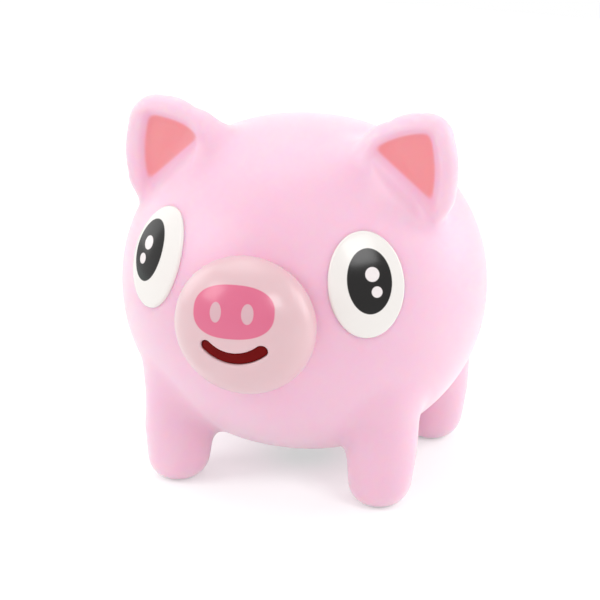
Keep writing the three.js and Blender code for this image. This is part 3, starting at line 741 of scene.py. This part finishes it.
tongue = add_piece("tongue_strip", tongue_points, tongue_quads[:, ::-1], tongue_triangles[:, ::-1])

# %% [markdown]
# ## The return spring
#
# A coil spring of steel wire inside the barrel draws the tongue back. Blender's screw modifier could wind
# it. Here rings of the round wire are carried along a helix that fits the CAD spring's box, so the spring
# follows the CAD sizes.

# %% Spring: a round wire along a helix
SPRING_WIRE = 0.9
SPRING_COILS, COIL_STEPS, WIRE_AROUND = 6, 48, 16

spring_low, spring_high = [(np.array(corner) - BODY_AXIS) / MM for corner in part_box("return_spring")]
coil_radius = (spring_high[0] - spring_low[0] - SPRING_WIRE) / 2
coil_turn = np.linspace(0.0, 2 * np.pi * SPRING_COILS, SPRING_COILS * COIL_STEPS + 1)[:, None]
outwards = np.concatenate([np.cos(coil_turn), 0.0 * coil_turn, np.sin(coil_turn)], -1)
centre_line = (spring_low + spring_high) / 2 + coil_radius * outwards
first_y, last_y = spring_low[1] + SPRING_WIRE / 2, spring_high[1] - SPRING_WIRE / 2
centre_line[:, 1] = np.linspace(first_y, last_y, len(coil_turn))
tangent = np.gradient(centre_line, axis=0)
tangent /= np.linalg.norm(tangent, axis=-1, keepdims=True)
across_wire = np.cross(tangent, outwards)
round_wire = np.linspace(0.0, 2 * np.pi, WIRE_AROUND, endpoint=False)[:, None]
section = np.cos(round_wire) * outwards[:, None] + np.sin(round_wire) * across_wire[:, None]
wire_points = (centre_line[:, None] + SPRING_WIRE / 2 * section).reshape(-1, 3)
wire_points = np.concatenate([wire_points, centre_line[[0, -1]]])
wire_quads, wire_triangles = tube_faces(len(centre_line), WIRE_AROUND)
spring = add_piece("return_spring_wire", wire_points, wire_quads, wire_triangles)

# %% [markdown]
# ## Finishes
#
# A finish is a small tree of nodes that ends in one shader. Colours are written as they look on a screen,
# and turned into the linear values that the shader needs. Nothing is painted into an image: each pattern
# comes from noise with a grain in real millimetres, or from a distance that a mesh carries on its points.


# %% Helpers for materials
def linear(colour):
    """An sRGB hex colour as linear red, green, blue and a full alpha, by the standard's own curve."""
    steps = np.array([int(colour[i:i + 2], 16) for i in (1, 3, 5)]) / 255
    light = np.where(steps <= 0.04045, steps / 12.92, ((steps + 0.055) / 1.055)**2.4)
    return (*light.tolist(), 1.0)


def new_material(name):
    """A material with nodes, its tree and its shader."""
    material = bpy.data.materials.new(name)
    material.use_nodes = True
    print("material", name)
    return material, material.node_tree, material.node_tree.nodes["Principled BSDF"]


def add_node(tree, kind, inputs=None, **settings):
    """Adds a node. An input is a number, a colour or another node's socket."""
    node = tree.nodes.new(kind)
    for key, value in settings.items():
        setattr(node, key, value)
    for key, value in (inputs or {}).items():
        if isinstance(value, bpy.types.NodeSocket):
            tree.links.new(value, node.inputs[key])
        else:
            node.inputs[key].default_value = value
    return node


def set_shader(shader, **values):
    """Sets a shader's own inputs, named with underscores in place of spaces."""
    for label, value in values.items():
        shader.inputs[label.replace("_", " ")].default_value = value


def two_tones(tree, light, dark, grain, detail=2.0):
    """A colour that wanders between two tones over a grain in millimetres, and the noise that leads it."""
    place = add_node(tree, "ShaderNodeTexCoord").outputs["Object"]
    inputs = {"Vector": place, "Scale": 1 / (grain * MM), "Detail": detail}
    noise = add_node(tree, "ShaderNodeTexNoise", inputs).outputs["Fac"]
    tones = {0: noise, 6: linear(light), 7: linear(dark)}
    return add_node(tree, "ShaderNodeMix", tones, data_type="RGBA").outputs[2], noise


def print_over(tree, ground, distance, colour, soft=0.12):
    """A colour printed over a ground wherever a distance is below zero, with an edge this many mm soft."""
    limits = {"Value": distance, "From Min": soft, "From Max": -soft}
    edge = add_node(tree, "ShaderNodeMapRange", limits, interpolation_type="SMOOTHSTEP")
    layers = {0: edge.outputs["Result"], 6: ground, 7: linear(colour)}
    return add_node(tree, "ShaderNodeMix", layers, data_type="RGBA").outputs[2]


print("mid grey on a screen as linear light:", np.round(linear("#808080")[0], 3))

# %% [markdown]
# ### Soft vinyl
#
# The skin is plasticised PVC, cast in a hot mould. It looks satin and slightly see-through. Light travels
# some millimetres inside it before it comes out, which softens every shadow on the rounds; how far each
# colour travels was chosen by comparing lit and shaded places with the photograph. A faint sheen lightens
# the edges, as the fine bloom on soft vinyl does. The mould leaves an orange peel a millimetre or two
# across, too faint to see as bumps but enough to break up the gloss. The inner ears are sprayed through a
# mask, so the salmon has a soft edge. The pinker band painted round it is partly overspray and partly
# painted shade, where the dish slopes in.

# %% Soft vinyl
SKIN_PINK, SKIN_BLUSH, SKIN_CLOUD = "#fbcbdf", "#fac2d9", 22.0
EAR_SALMON, SPRAY_EDGE = "#f5979d", 0.5
# a pinker band round the spray: partly overspray, partly painted shade where the dish slopes in
EAR_OVERSPRAY_AND_SHADE, OVERSPRAY_AND_SHADE_EDGE = "#f9adca", 2.4
PEEL_SIZE, PEEL_DEPTH, PEEL_STRENGTH = 1.6, 0.2, 0.04

vinyl, tree, shader = new_material("soft_pvc_vinyl_pink")
pink, _ = two_tones(tree, SKIN_PINK, SKIN_BLUSH, SKIN_CLOUD)
sprayed = add_node(tree, "ShaderNodeAttribute", attribute_name="ear_paint").outputs["Fac"]
# the band round the spray, overspray together with painted shade of the dish's slope
overspray_and_shade = print_over(tree, pink, sprayed, EAR_OVERSPRAY_AND_SHADE, OVERSPRAY_AND_SHADE_EDGE)
painted = print_over(tree, overspray_and_shade, sprayed, EAR_SALMON, SPRAY_EDGE)
tree.links.new(painted, shader.inputs["Base Color"])
place = add_node(tree, "ShaderNodeTexCoord").outputs["Object"]
peel_inputs = {"Vector": place, "Scale": 1 / (PEEL_SIZE * MM), "Detail": 1.0}
peel = add_node(tree, "ShaderNodeTexNoise", peel_inputs).outputs["Fac"]
bump_inputs = {"Height": peel, "Strength": PEEL_STRENGTH, "Distance": PEEL_DEPTH * MM}
bump = add_node(tree, "ShaderNodeBump", bump_inputs)
tree.links.new(bump.outputs["Normal"], shader.inputs["Normal"])
set_shader(shader, Roughness=0.38, IOR=1.55, Sheen_Weight=0.7, Sheen_Roughness=0.5)
set_shader(shader, Subsurface_Weight=1.0, Subsurface_Scale=6.0 * MM, Subsurface_Radius=(0.3, 1.0, 0.6))

# %% [markdown]
# ### Glossy eye enamel
#
# The eyes are hard white plastic, pad printed in black with two white glints, under a clear gloss. The low
# roughness gives them sharp reflections, which the satin skin doesn't have. It varies a little, as a
# sprayed gloss does.

# %% Eye enamel
EYE_WHITE, EYE_CREAM, EYE_GRAIN = "#f4f0ec", "#f2eeea", 5.0
PUPIL_BLACK, GLINT_WHITE = "#0e0b0a", "#f4ecec"
EYE_GLOSS = (0.13, 0.19)  # roughness, from and to

enamel, tree, shader = new_material("printed_gloss_plastic_eye")
white, wander = two_tones(tree, EYE_WHITE, EYE_CREAM, EYE_GRAIN)
pupil_at = add_node(tree, "ShaderNodeAttribute", attribute_name="pupil").outputs["Fac"]
glint_at = add_node(tree, "ShaderNodeAttribute", attribute_name="glint").outputs["Fac"]
with_pupil = print_over(tree, white, pupil_at, PUPIL_BLACK)
with_glints = print_over(tree, with_pupil, glint_at, GLINT_WHITE)
tree.links.new(with_glints, shader.inputs["Base Color"])
gloss_range = {"Value": wander, "To Min": EYE_GLOSS[0], "To Max": EYE_GLOSS[1]}
gloss = add_node(tree, "ShaderNodeMapRange", gloss_range)
tree.links.new(gloss.outputs["Result"], shader.inputs["Roughness"])
set_shader(shader, IOR=1.4)

# %% [markdown]
# ### Milky snout plastic
#
# The snout is a firm translucent plastic. Some light soaks in, red furthest, so its thin rim glows warm
# and pale, and a clear coat adds a soft shine on top. The nose is printed in rose, and the nostrils in it
# are coloured a duller pink than the dome.

# %% Milky snout plastic
SNOUT_MILK, SNOUT_CLOUD, CLOUD_GRAIN = "#e6c2c7", "#e2bcc1", 8.0
NOSE_ROSE, NOSTRIL_PINK = "#e06d8f", "#dcb3bb"

milk, tree, shader = new_material("milky_translucent_plastic_snout")
milky, _ = two_tones(tree, SNOUT_MILK, SNOUT_CLOUD, CLOUD_GRAIN)
nose_at = add_node(tree, "ShaderNodeAttribute", attribute_name="nose").outputs["Fac"]
nostril_at = add_node(tree, "ShaderNodeAttribute", attribute_name="nostril").outputs["Fac"]
with_nose = print_over(tree, milky, nose_at, NOSE_ROSE)
with_nostrils = print_over(tree, with_nose, nostril_at, NOSTRIL_PINK)
tree.links.new(with_nostrils, shader.inputs["Base Color"])
set_shader(shader, Roughness=0.3, IOR=1.49, Coat_Weight=0.25, Coat_Roughness=0.12)
set_shader(shader, Subsurface_Weight=0.3, Subsurface_Scale=3.0 * MM, Subsurface_Radius=(1.0, 0.5, 0.5))

# %% [markdown]
# ### Tongue vinyl, acetal, rubber and steel
#
# The tongue is a dull dark red vinyl. The pieces inside keep their CAD shapes: moulded white acetal, a
# black rubber ring, and steel. One flat colour would look like a drawing, so each wanders between two near
# tones with a faint unevenness, as moulded and drawn parts do.

# %% The plainer finishes
PLAIN_DETAIL, PLAIN_DEPTH, PLAIN_STRENGTH = 3.0, 0.2, 0.05


def plain_finish(name, light, dark, grain, **values):
    """A finish whose colour and height wander together over a grain given in millimetres."""
    material, tree, shader = new_material(name)
    tone, noise = two_tones(tree, light, dark, grain, PLAIN_DETAIL)
    tree.links.new(tone, shader.inputs["Base Color"])
    bump_inputs = {"Height": noise, "Strength": PLAIN_STRENGTH, "Distance": PLAIN_DEPTH * MM}
    bump = add_node(tree, "ShaderNodeBump", bump_inputs)
    tree.links.new(bump.outputs["Normal"], shader.inputs["Normal"])
    set_shader(shader, **values)
    return material


dull = {"Roughness": 0.6, "IOR": 1.3, "Specular_IOR_Level": 0.25}
tongue_vinyl = plain_finish("soft_pvc_vinyl_dark_red", "#760406", "#680305", 3.0, **dull)
acetal = plain_finish("moulded_acetal_white", "#e4e6e6", "#d9dcdc", 2.0, Roughness=0.42, IOR=1.48)
rubber = plain_finish("nitrile_rubber_black", "#303032", "#262628", 1.5, Roughness=0.7, IOR=1.52)
steel = plain_finish("drawn_spring_steel", "#c3c6c9", "#adb1b5", 0.8, Roughness=0.3, Metallic=1.0)

# %% [markdown]
# ## Dress the frame
#
# Each new piece stands for the CAD nodes it replaces, takes a finish and rides on its body.

dressed = [
    (skin, vinyl, "body", "pink_vinyl", ["body_skin", "left_flank", "right_flank"]),
    (left_eye, enamel, "body", "eye_gloss", ["left_eye"]),
    (right_eye, enamel, "body", "eye_gloss", ["right_eye"]),
    (snout, milk, "body", "snout_plastic", ["snout_dome"]),
    (tongue, tongue_vinyl, "tongue_slide", "tongue_vinyl", ["tongue"]),
    (spring, steel, "body", "spring_steel", ["return_spring"]),
]
for piece, material, body, slot, nodes in dressed:
    piece.data.materials.append(material)
    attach(piece, body)
    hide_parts(*nodes)
for piece in (skin, left_eye, right_eye):
    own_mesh(piece)
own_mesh(spring)
print("dressed", len(dressed), "pieces")

# %% Finishes for the pieces that keep their CAD shapes
finishes = {"white_acetal": acetal, "seal_rubber": rubber, "spring_steel": steel}
slots = {entry["node"]: entry["material_slot"] for entry in frame["record"]["subparts"]}
for name, cad_node in frame["nodes"].items():
    if slots[name] in finishes:
        cad_node.data.materials.clear()
        cad_node.data.materials.append(finishes[slots[name]])
print("finishes for CAD pieces:", sorted(finishes))

# %% [markdown]
# ## Table and light
#
# The toy stands on a white sheet that runs out into a white background, so only a faint shadow shows where
# the table is. In a studio that takes evenly lit white paper. Here the sheet and the world show white to
# any ray that looks at them, but light the toy with a strength of their own, so that the pink isn't washed
# out. Five square soft boxes shape the toy: a key at the upper left gives the reflections, a small fill
# opens the right side, one hangs above, and two behind brighten the edges.

# %% Floor
FLOOR_HALF = 500.0
SHEET_AS_LIGHT = "#f9f9f9"
SHEET_AS_SEEN, SHEET_GLOW = "#dde9e5", 0.35  # a trace of green, against the pink that the toy throws on it
WHITE = "#ffffff"

floor_mesh = bpy.data.meshes.new("floor")
floor_corners = FLOOR_HALF * MM * np.array([[-1, -1, 0], [1, -1, 0], [1, 1, 0], [-1, 1, 0]])
floor_mesh.from_pydata(floor_corners.tolist(), [], [(0, 1, 2, 3)])
floor = bpy.data.objects.new("floor", floor_mesh)
bpy.context.scene.collection.objects.link(floor)


def seen_rays(tree):
    """1 for rays that look at a surface: from the camera, in a gloss, or through something clear."""
    path = add_node(tree, "ShaderNodeLightPath")
    looks = {0: path.outputs["Is Camera Ray"], 1: path.outputs["Is Glossy Ray"]}
    either = add_node(tree, "ShaderNodeMath", looks, operation="MAXIMUM").outputs["Value"]
    looks = {0: either, 1: path.outputs["Is Transmission Ray"]}
    return add_node(tree, "ShaderNodeMath", looks, operation="MAXIMUM").outputs["Value"]


paper, tree, shader = new_material("white_paper_sweep")
seen = seen_rays(tree)
sheet_tones = {0: seen, 6: linear(SHEET_AS_LIGHT), 7: linear(SHEET_AS_SEEN)}
sheet = add_node(tree, "ShaderNodeMix", sheet_tones, data_type="RGBA")
glow = add_node(tree, "ShaderNodeMapRange", {"Value": seen, "To Min": 0.0, "To Max": SHEET_GLOW})
tree.links.new(sheet.outputs[2], shader.inputs["Base Color"])
tree.links.new(glow.outputs["Result"], shader.inputs["Emission Strength"])
set_shader(shader, Emission_Color=linear(WHITE), Roughness=0.9, Specular_IOR_Level=0.1)
floor_mesh.materials.append(paper)
print("floor", 2 * FLOOR_HALF, "mm wide")

# %% World: white to the eye, softer as light
WORLD_AS_LIGHT, WORLD_AS_SEEN = 0.63, 1.0

world = bpy.data.worlds.new("white_studio")
bpy.context.scene.world = world
world.use_nodes = True
tree = world.node_tree
background = tree.nodes["Background"]
strengths = {"Value": seen_rays(tree), "To Min": WORLD_AS_LIGHT, "To Max": WORLD_AS_SEEN}
strength = add_node(tree, "ShaderNodeMapRange", strengths).outputs["Result"]
tree.links.new(strength, background.inputs["Strength"])
background.inputs["Color"].default_value = linear(WHITE)
print("world", world.name)

# %% Soft boxes: place and width in millimetres, and power in watts
SOFT_BOXES = [
    ("key_box", (-620.0, -480.0, 560.0), 380.0, 1.8),
    ("fill_box", (493.0, -420.0, 538.0), 260.0, 1.25),
    ("top_box", (-220.0, 220.0, 780.0), 600.0, 1.35),
    ("left_rim_box", (-810.0, 292.0, 350.0), 600.0, 1.2),
    ("right_rim_box", (650.0, 460.0, 300.0), 600.0, 2.3),
]
for name, place, width, power in SOFT_BOXES:
    light = bpy.data.lights.new(name, "AREA")
    light.shape, light.size, light.energy = "SQUARE", width * MM, power
    lamp = bpy.data.objects.new(name, light)
    away = np.array(place) - TOY_MIDDLE
    tilt = np.arctan2(np.hypot(away[0], away[1]), away[2])
    lamp.location = placed(place)
    lamp.rotation_euler = (tilt, 0.0, np.arctan2(away[0], -away[1]))
    bpy.context.scene.collection.objects.link(lamp)
    print(name, width, "mm", power, "W")

# %% [markdown]
# ## Standard view and the end
#
# The picture is shown with no film look, so that colours come out as they were written.

# %% Finish
bpy.context.scene.view_settings.view_transform = "Standard"
